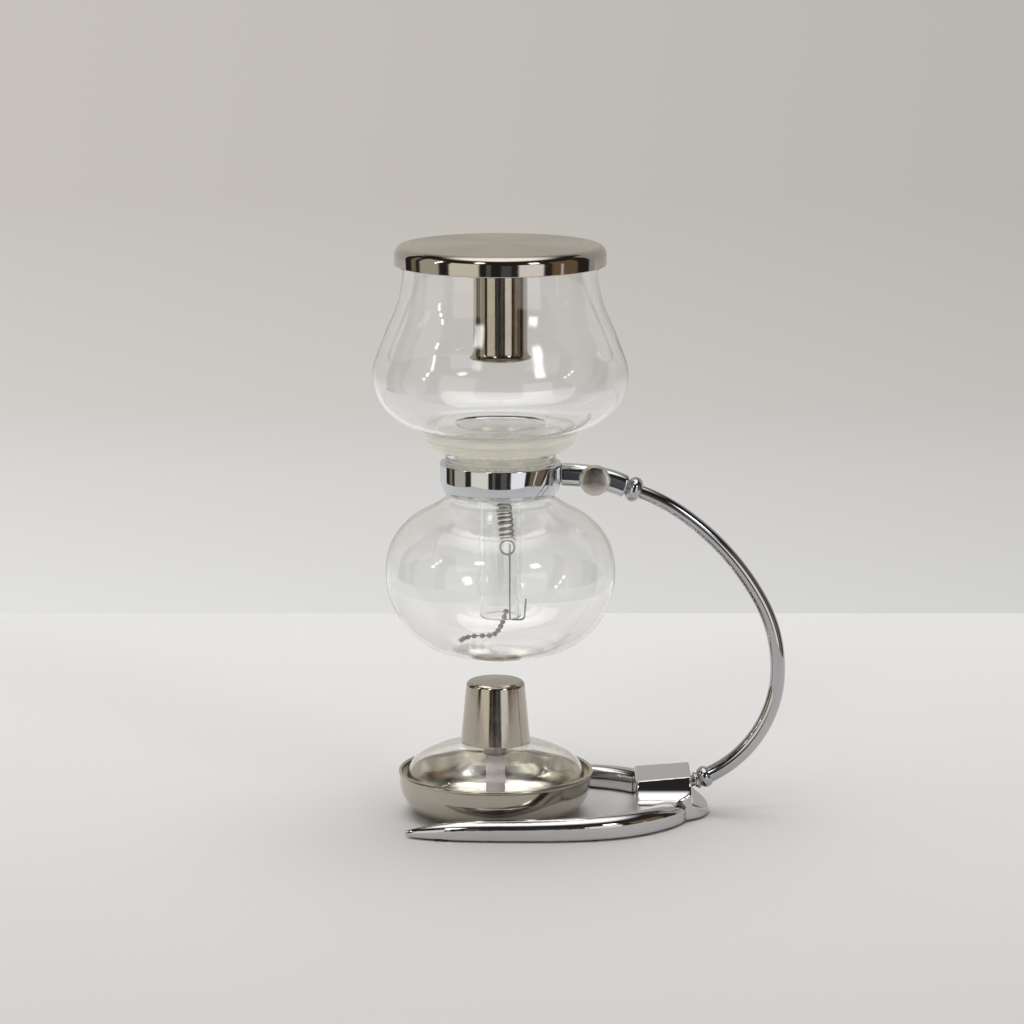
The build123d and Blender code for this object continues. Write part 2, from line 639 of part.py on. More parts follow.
LAMP_FLOOR_Z = TRAY_SHEET + FIT
LAMP_OUTLINE = [
    (24.0, LAMP_FLOOR_Z),
    (33.4, 4.6),
    (37.6, 11.0),
    (LAMP_R, 17.5),
    (36.6, 23.0),
    (28.0, 28.4),
    (18.5, 31.1),
    (13.6, LAMP_TOP_Z),
]
LAMP_NECK_R = 11.0
LAMP_NECK_Z = 37.4
with BuildPart() as lamp_glass:
    lamp_inside = inset(LAMP_OUTLINE[::-1], LAMP_GLASS)
    lamp_inside[-1] = (24.0, LAMP_FLOOR_Z + LAMP_GLASS)
    with BuildSketch(LAMP_PLANE):
        with BuildLine():
            Line((0, LAMP_FLOOR_Z), LAMP_OUTLINE[0])
            glass_wall(LAMP_OUTLINE, (1, 0), (-1, 0.12))
            FilletPolyline(
                LAMP_OUTLINE[-1],
                (LAMP_NECK_R, LAMP_TOP_Z + 0.3),
                (LAMP_NECK_R, LAMP_NECK_Z),
                (LAMP_NECK_R - LAMP_GLASS, LAMP_NECK_Z),
                (LAMP_NECK_R - LAMP_GLASS, lamp_inside[0][1] - 0.3),
                lamp_inside[0],
                radius=(0.8, 0.5, 0.5, 0.8),
            )
            glass_wall(lamp_inside, (1, -0.12), (-1, 0))
            Polyline(lamp_inside[-1], (0, LAMP_FLOOR_Z + LAMP_GLASS), (0, LAMP_FLOOR_Z))
        make_face()
    revolve(axis=LAMP_UPRIGHT)
save(lamp_glass, "lamp_glass")

with BuildPart() as wick_holder:
    with BuildSketch(LAMP_PLANE):
        with BuildLine():
            Polyline(
                (WICK_R + FIT, 26.0),
                (WICK_R + 0.8, 26.0),
                (WICK_R + 0.8, LAMP_NECK_Z + FIT),
                (LAMP_NECK_R + FIT, LAMP_NECK_Z + FIT),
                (LAMP_NECK_R + FIT, LAMP_NECK_Z - 3.2),
                (LAMP_NECK_R + 0.8, LAMP_NECK_Z - 3.2),
                (LAMP_NECK_R + 0.8, LAMP_NECK_Z + 0.8),
                (WICK_R + 0.8, LAMP_NECK_Z + 0.8),
                (WICK_R + 0.8, 47.0),
                (WICK_R + FIT, 47.0),
                close=True,
            )
        make_face()
    revolve(axis=LAMP_UPRIGHT)
save(wick_holder, "wick_holder")

with BuildPart() as lamp_wick:
    with BuildSketch(LAMP_PLANE):
        with BuildLine():
            shaft = Polyline((0, 4.0), (WICK_R, 4.0), (WICK_R, 49.6))
            wick_end = TangentArc((0, 50.9), shaft @ 1, tangent=(1, 0))
            Line(wick_end @ 0, (0, 4.0))
        make_face()
    revolve(axis=LAMP_UPRIGHT)
save(lamp_wick, "lamp_wick")

with BuildPart() as lamp_cap:
    cap_crown = 0.5
    with BuildSketch(LAMP_PLANE):
        with BuildLine():
            taper = Line((CAP_FOOT_R, CAP_Z[0]), (CAP_TOP_R + 0.25, CAP_Z[1] - 2.6))
            edge = TangentArc(taper @ 1, (CAP_TOP_R - 2.2, CAP_Z[1] - cap_crown), tangent=taper % 1)
            crown = Spline(edge @ 1, (0, CAP_Z[1]), tangents=(edge % 1, (-1, 0)))
            Polyline(
                crown @ 1,
                (0, CAP_Z[1] - CAP_SHEET - cap_crown),
                (CAP_TOP_R - 2.6, CAP_Z[1] - CAP_SHEET - cap_crown),
                (CAP_TOP_R + 0.2 - CAP_SHEET, CAP_Z[1] - 3.4),
                (CAP_FOOT_R - CAP_SHEET, CAP_Z[0]),
                (CAP_FOOT_R, CAP_Z[0]),
            )
        make_face()
    revolve(axis=LAMP_UPRIGHT)
save(lamp_cap, "lamp_cap")
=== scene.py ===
"""Looks of the siphon coffee maker: fine lathe-turned glass and metal, materials, studio and camera.

Every object is in metres. The outlines below are in millimetres: (distance from the axis, height above
the table), as turned pieces are drawn, and lathe() scales them.
"""
import math

import bmesh
import bpy
from mathutils import Matrix, Vector


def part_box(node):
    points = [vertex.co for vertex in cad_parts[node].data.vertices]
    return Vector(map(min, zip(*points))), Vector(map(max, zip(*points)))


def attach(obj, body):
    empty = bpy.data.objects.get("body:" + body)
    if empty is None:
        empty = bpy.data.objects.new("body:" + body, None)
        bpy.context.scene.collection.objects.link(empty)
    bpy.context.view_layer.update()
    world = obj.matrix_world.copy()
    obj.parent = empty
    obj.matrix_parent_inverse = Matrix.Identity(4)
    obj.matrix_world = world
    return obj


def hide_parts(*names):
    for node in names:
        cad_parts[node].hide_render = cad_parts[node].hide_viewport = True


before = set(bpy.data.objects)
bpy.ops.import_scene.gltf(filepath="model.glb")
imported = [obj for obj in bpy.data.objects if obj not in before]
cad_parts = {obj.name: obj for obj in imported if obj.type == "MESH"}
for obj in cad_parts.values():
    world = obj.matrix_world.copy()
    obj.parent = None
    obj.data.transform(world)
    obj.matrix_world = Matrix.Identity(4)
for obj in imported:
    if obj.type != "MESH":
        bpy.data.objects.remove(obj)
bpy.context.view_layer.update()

MM = 0.001
# In millimetres: outline points this close are one point, and a point this close to the axis lies on it.
SAME_POINT = 1e-4
ON_AXIS = 1e-3


def middle_x(node):
    """The x of a turned node's upright axis, in metres."""
    low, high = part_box(node)
    return (low.x + high.x) / 2


BOWL_X = middle_x("upper_bowl")
LAMP_X = middle_x("lamp_glass")


# ---------------------------------------------------------------- outlines
def rounded(points, steps=7):
    """An open line through (r, z) or (r, z, bend radius) points, with its corners turned into arcs."""
    path = []
    for index, point in enumerate(points):
        here = Vector(point[:2])
        bend = point[2] if len(point) > 2 else 0.0
        if not bend or index in (0, len(points) - 1):
            path.append(tuple(here))
            continue
        back = (Vector(points[index - 1][:2]) - here).normalized()
        ahead = (Vector(points[index + 1][:2]) - here).normalized()
        half = back.angle(ahead) / 2
        reach = bend / math.tan(half)
        centre = here + (back + ahead).normalized() * (bend / math.sin(half))
        start = here + back * reach - centre
        sweep = start.angle_signed(here + ahead * reach - centre)
        for step in range(steps + 1):
            turn = Matrix.Rotation(-sweep * step / steps, 2)
            path.append(tuple(centre + turn @ start))
    return path


def smooth(points, start_way, end_way, steps=14):
    """A smooth curve through the points: cubic pieces whose slopes follow the neighbouring points."""
    spots = [Vector(point) for point in points]
    gaps = [(after - before).length for before, after in zip(spots, spots[1:])]
    ways = [Vector(start_way).normalized()]
    for index in range(1, len(spots) - 1):
        before = (spots[index] - spots[index - 1]) / gaps[index - 1]
        after = (spots[index + 1] - spots[index]) / gaps[index]
        ways.append((before * gaps[index] + after * gaps[index - 1]).normalized())
    ways.append(Vector(end_way).normalized())
    path = []
    for index, gap in enumerate(gaps):
        for step in range(steps):
            t = step / steps
            path.append(tuple(
                spots[index] * (2 * t ** 3 - 3 * t ** 2 + 1)
                + ways[index] * gap * (t ** 3 - 2 * t ** 2 + t)
                + spots[index + 1] * (3 * t ** 2 - 2 * t ** 3)
                + ways[index + 1] * gap * (t ** 3 - t ** 2)
            ))
    path.append(tuple(spots[-1]))
    return path


def inner_face(outline, wall):
    """The other face of a wall: every point of a fine outline moved square to it, to its right-hand side."""
    moved = []
    for before, point, after in zip(outline[:1] + outline, outline, outline[1:] + outline[-1:]):
        way = (Vector(after) - Vector(before)).normalized()
        moved.append((max(0.0, point[0] + wall * way.y), point[1] - wall * way.x))
    return moved


def round_end(start, end):
    """Points of a half circle from start to end, bulging to the left of the way from start to end."""
    steps = 6
    start, end = Vector(start), Vector(end)
    centre = (start + end) / 2
    arm = start - centre
    return [tuple(centre + Matrix.Rotation(-math.pi * step / steps, 2) @ arm) for step in range(1, steps)]


def arc(centre, radii, first, last, steps):
    """Points of a round or oval arc, from its centre, its two half widths and its end angles in degrees."""
    turns = [math.radians(first + (last - first) * step / steps) for step in range(steps + 1)]
    return [(centre[0] + radii[0] * math.cos(turn), centre[1] + radii[1] * math.sin(turn)) for turn in turns]


def without_repeats(outline):
    """The outline without points that lie on the one before."""
    kept = []
    for point in outline:
        if not kept or (Vector(point) - Vector(kept[-1])).length > SAME_POINT:
            kept.append(point)
    if (Vector(kept[0]) - Vector(kept[-1])).length < SAME_POINT:
        kept.pop()
    return kept


# ---------------------------------------------------------------- meshes
def finish_mesh(name, work):
    """Turns a bmesh into a smooth-shaded object whose large faces keep their own normals."""
    bmesh.ops.recalc_face_normals(work, faces=work.faces)
    mesh = bpy.data.meshes.new(name)
    work.to_mesh(mesh)
    work.free()
    mesh.shade_smooth()
    piece = bpy.data.objects.new(name, mesh)
    bpy.context.scene.collection.objects.link(piece)
    normals = piece.modifiers.new("face_area_normals", "WEIGHTED_NORMAL")
    normals.keep_sharp = True
    return piece


def lathe(name, outline, centre_x=BOWL_X, segments=192, place=None, end_turns=None):
    """Turns a closed outline round its axis. end_turns(z) gives a part turn's first and last angle."""
    outline = without_repeats(outline)
    work = bmesh.new()
    whole = end_turns is None
    place = place or Matrix.Translation((centre_x, 0, 0))
    columns = segments if whole else segments + 1
    first, last = (0.0, 2 * math.pi) if whole else end_turns(outline[0][1])
    # A part turn's ends may slant. The power keeps that slant to the columns next to the ends.
    slant_power = 20
    rings = []
    for r, z in outline:
        if r < ON_AXIS:
            rings.append([work.verts.new(place @ Vector((0, 0, z * MM)))] * columns)
            continue
        slant = 0.0 if whole else end_turns(z)[0] - first
        ring = []
        for column in range(columns):
            lean = slant * abs(1 - 2 * column / segments) ** slant_power
            turn = first + (last - first) * column / segments + lean
            spot = Vector((r * MM * math.cos(turn), r * MM * math.sin(turn), z * MM))
            ring.append(work.verts.new(place @ spot))
        rings.append(ring)
    for lower, upper in zip(rings, rings[1:] + rings[:1]):
        for column in range(segments):
            beside = (column + 1) % columns
            corners = [lower[column], lower[beside], upper[beside], upper[column]]
            corners = [corner for index, corner in enumerate(corners) if corner not in corners[:index]]
            if len(corners) > 2:
                work.faces.new(corners)
    if not whole:
        work.faces.new([ring[0] for ring in rings])
        work.faces.new([ring[-1] for ring in rings])
    return finish_mesh(name, work)


def bar(name, work, rings):
    """Joins a row of equal rings into a bar with flat ends."""
    sides = len(rings[0])
    for lower, upper in zip(rings, rings[1:]):
        for step in range(sides):
            beside = (step + 1) % sides
            work.faces.new((lower[step], lower[beside], upper[beside], upper[step]))
    work.faces.new(rings[0])
    work.faces.new(rings[-1])
    return finish_mesh(name, work)


def tube(name, path, radii, sides):
    """A round bar along a path of points in metres, with a radius in millimetres at each point."""
    work = bmesh.new()
    side = (path[1] - path[0]).normalized().orthogonal().normalized()
    rings = []
    for before, point, after, radius in zip(path[:1] + path, path, path[1:] + path[-1:], radii):
        way = (after - before).normalized()
        side = (side - way * side.dot(way)).normalized()
        other = way.cross(side)
        rings.append([
            work.verts.new(point + (side * math.cos(angle) + other * math.sin(angle)) * radius * MM)
            for angle in (2 * math.pi * step / sides for step in range(sides))
        ])
    return bar(name, work, rings)


# ---------------------------------------------------------------- material building blocks
def mix_colours(tree, factor, first, second):
    """Mixes two colours. The factor and the colours are plain values or other nodes' outputs."""
    node = tree.nodes.new("ShaderNodeMix")
    node.data_type = "RGBA"
    sockets = [node.inputs["Factor"]] + [socket for socket in node.inputs if socket.type == "RGBA"]
    for socket, value in zip(sockets, (factor, first, second)):
        if isinstance(value, bpy.types.NodeSocket):
            tree.links.new(value, socket)
        elif isinstance(value, tuple):
            socket.default_value = (*value, 1.0)
        else:
            socket.default_value = value
    return next(socket for socket in node.outputs if socket.type == "RGBA")


class Surface:
    """A node material round one Principled shader, with short calls for the patterns used here."""

    def __init__(self, name):
        self.name = name
        self.material = bpy.data.materials.new(name)
        self.material.use_nodes = True
        self.tree = self.material.node_tree
        self.shader = self.tree.nodes["Principled BSDF"]
        self.place = self.add("ShaderNodeTexCoord").outputs["Object"]

    def add(self, kind, **values):
        """A new node with some of its values or properties set."""
        node = self.tree.nodes.new(kind)
        for key, value in values.items():
            if key in node.inputs:
                node.inputs[key].default_value = value
            else:
                setattr(node, key, value)
        return node

    def link(self, source, target):
        self.tree.links.new(source, target)

    def set(self, **values):
        """Sets the shader's own sockets: Base_Color stands for the socket Base Color."""
        for key, value in values.items():
            self.shader.inputs[key.replace("_", " ")].default_value = value

    def noise(self, scale, detail=3.0, roughness=0.5):
        """Cloudy noise in the piece's own space."""
        node = self.add("ShaderNodeTexNoise", Scale=scale, Detail=detail, Roughness=roughness)
        self.link(self.place, node.inputs["Vector"])
        return node.outputs["Fac"]

    def scaled_place(self, factors):
        """The place in the piece's own space, each coordinate multiplied by its factor."""
        node = self.add("ShaderNodeVectorMath", operation="MULTIPLY")
        self.link(self.place, node.inputs[0])
        node.inputs[1].default_value = factors
        return node.outputs[0]

    def rings(self, centre, axis, scale):
        """Noise that only changes with the distance from axis 0, 1 or 2: the marks a lathe tool leaves."""
        offset = self.add("ShaderNodeVectorMath", operation="SUBTRACT")
        self.link(self.place, offset.inputs[0])
        offset.inputs[1].default_value = centre
        flat = self.add("ShaderNodeVectorMath", operation="MULTIPLY")
        self.link(offset.outputs[0], flat.inputs[0])
        flat.inputs[1].default_value = [0.0 if axis == number else 1.0 for number in range(3)]
        distance = self.add("ShaderNodeVectorMath", operation="LENGTH")
        self.link(flat.outputs[0], distance.inputs[0])
        node = self.add("ShaderNodeTexNoise", noise_dimensions="1D", Scale=scale, Detail=4.0)
        self.link(distance.outputs["Value"], node.inputs["W"])
        return node.outputs["Fac"]

    def spread(self, value, low, high, start=0.3, stop=0.7):
        """Maps start..stop of a pattern to low..high."""
        node = self.add("ShaderNodeMapRange")
        node.inputs["From Min"].default_value = start
        node.inputs["From Max"].default_value = stop
        node.inputs["To Min"].default_value = low
        node.inputs["To Max"].default_value = high
        self.link(value, node.inputs["Value"])
        return node.outputs["Result"]

    def tint(self, value, first, second):
        """Mixes two colours by a pattern."""
        return mix_colours(self.tree, value, first, second)

    def colour(self, value, first, second):
        self.link(self.tint(value, first, second), self.shader.inputs["Base Color"])

    def roughness(self, value, low, high, start=0.3, stop=0.7):
        self.link(self.spread(value, low, high, start, stop), self.shader.inputs["Roughness"])

    def bump(self, value, depth):
        """Adds relief of that depth in metres on top of any relief there already."""
        node = self.add("ShaderNodeBump", Strength=1.0, Distance=depth)
        self.link(value, node.inputs["Height"])
        before = self.shader.inputs["Normal"].links
        if before:
            self.link(before[0].from_socket, node.inputs["Normal"])
        self.link(node.outputs["Normal"], self.shader.inputs["Normal"])


def glass(name, tint, waviness):
    """Clear blown glass: faint waves in its face, a trace of handling marks, no colour to speak of."""
    look = Surface(name)
    look.set(IOR=1.47, Transmission_Weight=1.0)
    clouds = look.noise(22.0, 2.0)
    look.colour(clouds, tint, tuple(min(1.0, part + 0.006) for part in tint))
    look.roughness(look.noise(130.0, 5.0, 0.6), 0.0, 0.018, 0.45, 0.75)
    look.bump(clouds, waviness)
    return look


def polished(name, first, second, low, high, ripple=0.00002):
    """Bright plated metal: a slow ripple, a fine haze and small changes of tone."""
    look = Surface(name)
    look.set(Metallic=1.0)
    look.colour(look.noise(35.0, 3.0), first, second)
    look.roughness(look.noise(90.0, 6.0, 0.6), low, high, 0.4, 0.72)
    look.bump(look.noise(60.0, 2.0), ripple)
    return look


def turned(name, first, second, low, high, centre, axis, pitch, depth, anisotropy):
    """Metal faced on a lathe: fine rings round an axis and the stretched gloss that they give."""
    look = Surface(name)
    look.set(Metallic=1.0, Anisotropic=anisotropy, Anisotropic_Rotation=0.25)
    ring_marks = look.rings(centre, axis, pitch)
    look.colour(look.noise(45.0, 3.0), first, second)
    look.roughness(ring_marks, low, high)
    look.bump(ring_marks, depth)
    tangent = look.add("ShaderNodeTangent", direction_type="RADIAL", axis="XYZ"[axis])
    look.link(tangent.outputs["Tangent"], look.shader.inputs["Tangent"])
    return look


def silicone(name, pale, deep, rough, clear, body, painted_glow):
    """Cream silicone: milky, a little clear, with a faint moulded grain; it glows faintly in its pale
    colour, which is painted light.
    """
    look = Surface(name)
    look.set(IOR=1.42, Transmission_Weight=clear, Alpha=body)
    look.set(Subsurface_Weight=0.4, Subsurface_Scale=0.006)
    # Painted light: the piece glows faintly in its pale colour, standing in for light that comes through the
    # glass.
    look.set(Emission_Color=(*pale, 1), Emission_Strength=painted_glow)
    look.colour(look.noise(70.0, 3.0), pale, deep)
    look.roughness(look.noise(420.0, 4.0), rough - 0.05, rough + 0.08)
    look.bump(look.noise(900.0, 2.0), 0.000012)
    return look


def woven(name, pale, deep, scale, depth, stretch, painted_glow):
    """Cotton: crossing threads, uneven tone and a soft nap; it glows faintly in its pale colour, which is
    painted light.
    """
    look = Surface(name)
    look.set(Sheen_Weight=0.35, Sheen_Roughness=0.5)
    # Painted light: the cloth glows faintly in its pale colour, standing in for light that comes through the
    # glass.
    look.set(Emission_Color=(*pale, 1), Emission_Strength=painted_glow)
    threads = look.add("ShaderNodeTexWave", Scale=scale, Distortion=1.6, Detail=2.0)
    threads.bands_direction = "DIAGONAL"
    look.link(look.scaled_place(stretch), threads.inputs["Vector"])
    look.colour(look.noise(260.0, 4.0), pale, deep)
    look.roughness(threads.outputs["Fac"], 0.78, 0.95, 0.2, 0.8)
    look.bump(threads.outputs["Fac"], depth)
    look.bump(look.noise(2400.0, 3.0), depth * 0.4)
    return look


def rubber(name, pale, deep):
    """Matt rubber with a fine grain."""
    look = Surface(name)
    look.colour(look.noise(150.0, 4.0), pale, deep)
    look.roughness(look.noise(500.0, 4.0), 0.55, 0.8)
    look.bump(look.noise(1500.0, 3.0), 0.00003)
    return look


LID_CENTRE = (BOWL_X, 0.0, 0.0)
knob_low, knob_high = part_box("clamp_knob")
KNOB_CENTRE = tuple((knob_low + knob_high) / 2)

# A metal is given by its two tones, the roughness of its smoothest and its dullest spots and, where it is
# deeper than usual, its ripple in metres.
looks = {look.name: look.material for look in (
    glass("bowl_glass", (0.99, 0.992, 0.99), 0.00012),
    glass("lamp_clear_glass", (0.99, 0.99, 0.98), 0.00016),
    polished("arm_chrome", (0.55, 0.55, 0.565), (0.48, 0.48, 0.495), 0.03, 0.10),
    polished("ring_chrome", (0.66, 0.67, 0.70), (0.60, 0.61, 0.64), 0.03, 0.08),
    polished("cast_chrome", (0.66, 0.65, 0.655), (0.58, 0.57, 0.575), 0.05, 0.14, 0.00005),
    polished("tray_nickel", (0.56, 0.52, 0.45), (0.47, 0.435, 0.37), 0.09, 0.20, 0.00005),
    # Painted light: a much lighter copy of the tray's nickel brightens the tray's inside.
    polished("tray_inside_painted_light", (0.96, 0.92, 0.85), (0.86, 0.82, 0.75), 0.14, 0.26, 0.00006),
    polished("cap_nickel", (0.51, 0.465, 0.405), (0.43, 0.39, 0.335), 0.07, 0.17, 0.00004),
    polished("tube_steel", (0.51, 0.46, 0.39), (0.44, 0.395, 0.33), 0.06, 0.13),
    polished("lid_rim", (0.53, 0.495, 0.44), (0.46, 0.43, 0.38), 0.04, 0.10),
    turned("lid_steel", (0.60, 0.565, 0.495), (0.53, 0.495, 0.43), 0.25, 0.36,
           centre=LID_CENTRE, axis=2, pitch=2600.0, depth=0.000004, anisotropy=0.6),
    turned("knob_steel", (0.72, 0.67, 0.61), (0.62, 0.575, 0.52), 0.17, 0.24,
           centre=KNOB_CENTRE, axis=1, pitch=5200.0, depth=0.000002, anisotropy=0.92),
    polished("plated_screw", (0.50, 0.49, 0.47), (0.43, 0.42, 0.40), 0.14, 0.26),
    polished("filter_steel", (0.48, 0.47, 0.45), (0.38, 0.37, 0.35), 0.12, 0.24),
    # Silicone and cotton pieces lie inside the glass or under the ring: they glow faintly, painted light
    # that brightens them where little light reaches.
    silicone("seal_silicone", (0.97, 0.955, 0.88), (0.93, 0.91, 0.82),
             rough=0.16, clear=0.5, body=0.62, painted_glow=0.11),
    silicone("liner_silicone", (0.96, 0.945, 0.87), (0.91, 0.89, 0.80),
             rough=0.28, clear=0.3, body=0.55, painted_glow=0.10),
    woven("filter_flannel", (0.93, 0.90, 0.84), (0.85, 0.81, 0.74),
          scale=900.0, depth=0.00008, stretch=(1, 1, 1), painted_glow=0.10),
    woven("wick_cotton", (0.97, 0.89, 0.86), (0.90, 0.80, 0.77),
          scale=700.0, depth=0.00025, stretch=(1, 1, 0.6), painted_glow=0.22),
    rubber("pad_rubber", (0.05, 0.05, 0.05), (0.03, 0.03, 0.03)),
)}


def dress(piece, body, look, node):
    """Gives a new piece its finish and its body, and hides the CAD node it stands for."""
    piece.data.materials.append(looks[look])
    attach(piece, body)
    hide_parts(node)
    return piece


def dress_faces(piece, look, chosen):
    """Gives the faces of a piece that chosen() picks a second material: a second finish on the lid, painted
    light on the tray.
    """
    piece.data.materials.append(looks[look])
    for face in piece.data.polygons:
        if chosen(face):
            face.material_index = 1


# ---------------------------------------------------------------- glass bowls
# The walls are GLASS thick, and the outlines follow their outsides.
GLASS = 1.4
MOUTH_R, MOUTH_Z = 42.1, 247.6
BOWL_FLOOR_Z = 171.0
FLOOR_EDGE = (30.5, BOWL_FLOOR_Z + 0.3)
NECK_R = 18.9
STEM_R, STEM_END_Z = 9.0, 88.0
UPPER_OUTLINE = [
    (MOUTH_R, 240.0),
    (43.8, 228.0),
    (50.5, 211.0),
    (55.3, 194.0),
    (52.5, 184.0),
    (43.4, 175.2),
    FLOOR_EDGE,
]
NECK_OUTLINE = [
    FLOOR_EDGE,
    (NECK_R, BOWL_FLOOR_Z, 1.4),
    (NECK_R, 149.5, 3.0),
    (STEM_R, 137.5, 3.0),
    (STEM_R, STEM_END_Z + GLASS / 2),
]
LOWER_NECK_R = 22.9
LOWER_BEAD_R = 23.9
LOWER_MOUTH_Z = 161.5
LOWER_OUTLINE = [
    (LOWER_NECK_R, 142.0),
    (25.6, 139.6),
    (40.2, 130.6),
    (47.8, 120.4),
    (50.0, 109.8),
    (45.8, 90.9),
    (36.4, 79.2),
    (23.0, 73.0),
    (10.0, 71.1),
]


def make_upper_bowl():
    """The upper bowl with its neck and stem, open at both ends."""
    body = smooth(UPPER_OUTLINE, (0, -1), (-1, -0.03))
    outer = [(MOUTH_R, MOUTH_Z)] + body + rounded(NECK_OUTLINE, 10)[1:]
    inner = inner_face(outer, GLASS)
    outline = outer + round_end(outer[-1], inner[-1]) + inner[::-1] + round_end(inner[0], outer[0])
    return lathe("upper_bowl_glass", outline)


def make_lower_bowl():
    """The lower bowl with a flat bottom and a beaded mouth."""
    neck = rounded([
        (LOWER_BEAD_R, LOWER_MOUTH_Z - 1.1),
        (LOWER_BEAD_R, LOWER_MOUTH_Z - 2.8, 0.6),
        (LOWER_NECK_R, LOWER_MOUTH_Z - 3.6, 0.6),
        LOWER_OUTLINE[0],
    ])
    body = smooth(LOWER_OUTLINE, (0, -1), (-1, 0))
    inner = inner_face(body, GLASS)
    floor = [(0.0, body[-1][1]), (0.0, inner[-1][1])]
    lip = [
        (21.5, LOWER_MOUTH_Z - 1.0),
        (21.9, LOWER_MOUTH_Z - 0.3),
        (22.6, LOWER_MOUTH_Z),
        (23.3, LOWER_MOUTH_Z - 0.1),
        (23.75, LOWER_MOUTH_Z - 0.5),
    ]
    return lathe("lower_bowl_glass", neck[:-1] + body + floor + inner[::-1] + lip)


dress(make_upper_bowl(), "upper_bowl", "bowl_glass", "upper_bowl")
dress(make_lower_bowl(), "stand", "bowl_glass", "lower_bowl")


# ---------------------------------------------------------------- lid
LID_R = 45.8
LID_TOP_Z = 252.0
LID_RIM_Z = 242.6
LID_SHEET = 0.9
# The flat round seat under the lid that its tube hangs from.
SEAT_R, SEAT_Z = 16.5, LID_TOP_Z - 1.3


def make_lid():
    """A pressed cover: low crown, rounded shoulder, upright skirt with a rolled hem."""
    edge, edge_way = (LID_R - 4.0, LID_TOP_Z - 0.75), (1, -0.036)
    crown = smooth([(0.0, LID_TOP_Z), (22.0, LID_TOP_Z - 0.2), edge], (1, 0), edge_way, 20)
    bend = [edge, (LID_R - 1.2, LID_TOP_Z - 1.98), (LID_R, LID_TOP_Z - 5.0)]
    outer = crown[:-1] + smooth(bend, edge_way, (0, -1), 10)
    hem = [
        (LID_R, LID_RIM_Z + 0.5),
        (LID_R - 0.12, LID_RIM_Z + 0.12),
        (LID_R - 0.45, LID_RIM_Z),
        (LID_R - LID_SHEET, LID_RIM_Z + 0.25),
    ]
    inner = [point for point in inner_face(outer, LID_SHEET) if point[0] > SEAT_R + 0.2]
    return lathe("lid_cover_pressed", outer + hem + inner[::-1] + [(SEAT_R, SEAT_Z), (0.0, SEAT_Z)])


def off_the_top(face):
    """Whether a face of the lid lies outside its turned top."""
    across = math.hypot(face.center.x - BOWL_X, face.center.y) / MM
    return across >= LID_R - 1.7 or face.normal.z <= 0.5


def make_lid_tube():
    """A drawn tube with a flange under the lid and a flared foot."""
    wall, radius, flange_r = 0.8, 11.7, 15.5
    foot_r, foot_z = 13.4, 202.0
    flare_start = (radius, foot_z + 4.0)
    side = rounded([
        (flange_r, SEAT_Z),
        (flange_r, SEAT_Z - wall),
        (radius, SEAT_Z - wall, 0.5),
        flare_start,
    ])
    flare_line = [flare_start, (radius + 0.35, foot_z + 2.0), (foot_r, foot_z + 0.35)]
    flare = smooth(flare_line, (0, -1), (1, -0.6), 8)
    bottom = [(foot_r + 0.05, foot_z + 0.1), (foot_r - 0.25, foot_z)]
    outline = side[:-1] + flare + bottom + inner_face(flare, wall)[::-1] + [(radius - wall, SEAT_Z)]
    return lathe("lid_tube_drawn", outline, segments=128)


lid = dress(make_lid(), "lid", "lid_steel", "lid_cover")
dress_faces(lid, "lid_rim", off_the_top)
dress(make_lid_tube(), "lid", "tube_steel", "lid_stand_tube")


# ---------------------------------------------------------------- seal, ring and liner
def make_seal():
    """The moulded seal on the upper bowl's neck: a flange under the bowl, a groove and a sleeve."""
    bore = NECK_R + 0.05
    top = BOWL_FLOOR_Z
    outline = rounded([
        (bore, 149.8),
        (bore, top - 2.2, 0.5),
        (bore + 1.9, top - 0.3, 0.5),
        (33.2, top - 0.1, 1.2),
        (33.2, top - 3.1, 1.2),
        (30.6, top - 3.5, 0.3),
        (31.9, top - 3.9, 1.3),
        (31.9, top - 7.4, 2.2),
        (25.3, 161.75, 0.5),
        (21.3, 161.75, 0.25),
        (20.75, 149.0, 0.5),
        (bore + 0.7, 149.0, 0.3),
        (bore, 149.8),
    ])
    return lathe("bowl_seal_moulded", outline)


RING_R = 26.4
RING_BORE_R = 24.1
RING_LOW_Z, RING_HIGH_Z = 143.5, 156.7
RING_BEND_Z = 150.2
SPLIT_Z = 150.0
SPLIT_TURN = math.radians(-43.0)
SPLIT_SLOPE = math.radians(1.9)
SPLIT_HALF = math.radians(0.45)


def split_ends(z):
    """The angles at that height where the ring starts and ends, on either side of its slanted slit."""
    middle = SPLIT_TURN + SPLIT_SLOPE * (z - SPLIT_Z)
    return middle + SPLIT_HALF, middle + 2 * math.pi - SPLIT_HALF


def make_ring():
    """The clamp ring, open at a slanted slit on its front right."""
    side = rounded([
        (RING_BORE_R, RING_LOW_Z + 0.3),
        (RING_BORE_R, RING_HIGH_Z, 0.3),
        (RING_R, RING_HIGH_Z, 0.8),
        (RING_R, RING_BEND_Z),
    ])
    low_line = [side[-1], (RING_R - 0.4, 146.4), (RING_R - 1.5, RING_LOW_Z)]
    outline = side[:-1] + smooth(low_line, (0, -1), (-0.6, -1), 12)
    return lathe("clamp_ring_cast", outline, end_turns=split_ends)


def make_liner():
    """The band between ring and bowl, open over a few degrees."""
    inside_r, outside_r, low_z, high_z, bend = 22.95, 24.05, 142.6, 157.2, 0.25
    outline = rounded([
        (inside_r, low_z),
        (inside_r, high_z, bend),
        (outside_r, high_z, bend),
        (outside_r, low_z, bend),
        (inside_r, low_z),
    ])
    return lathe("clamp_liner_band", outline, end_turns=lambda z: (0.0, math.radians(352)))


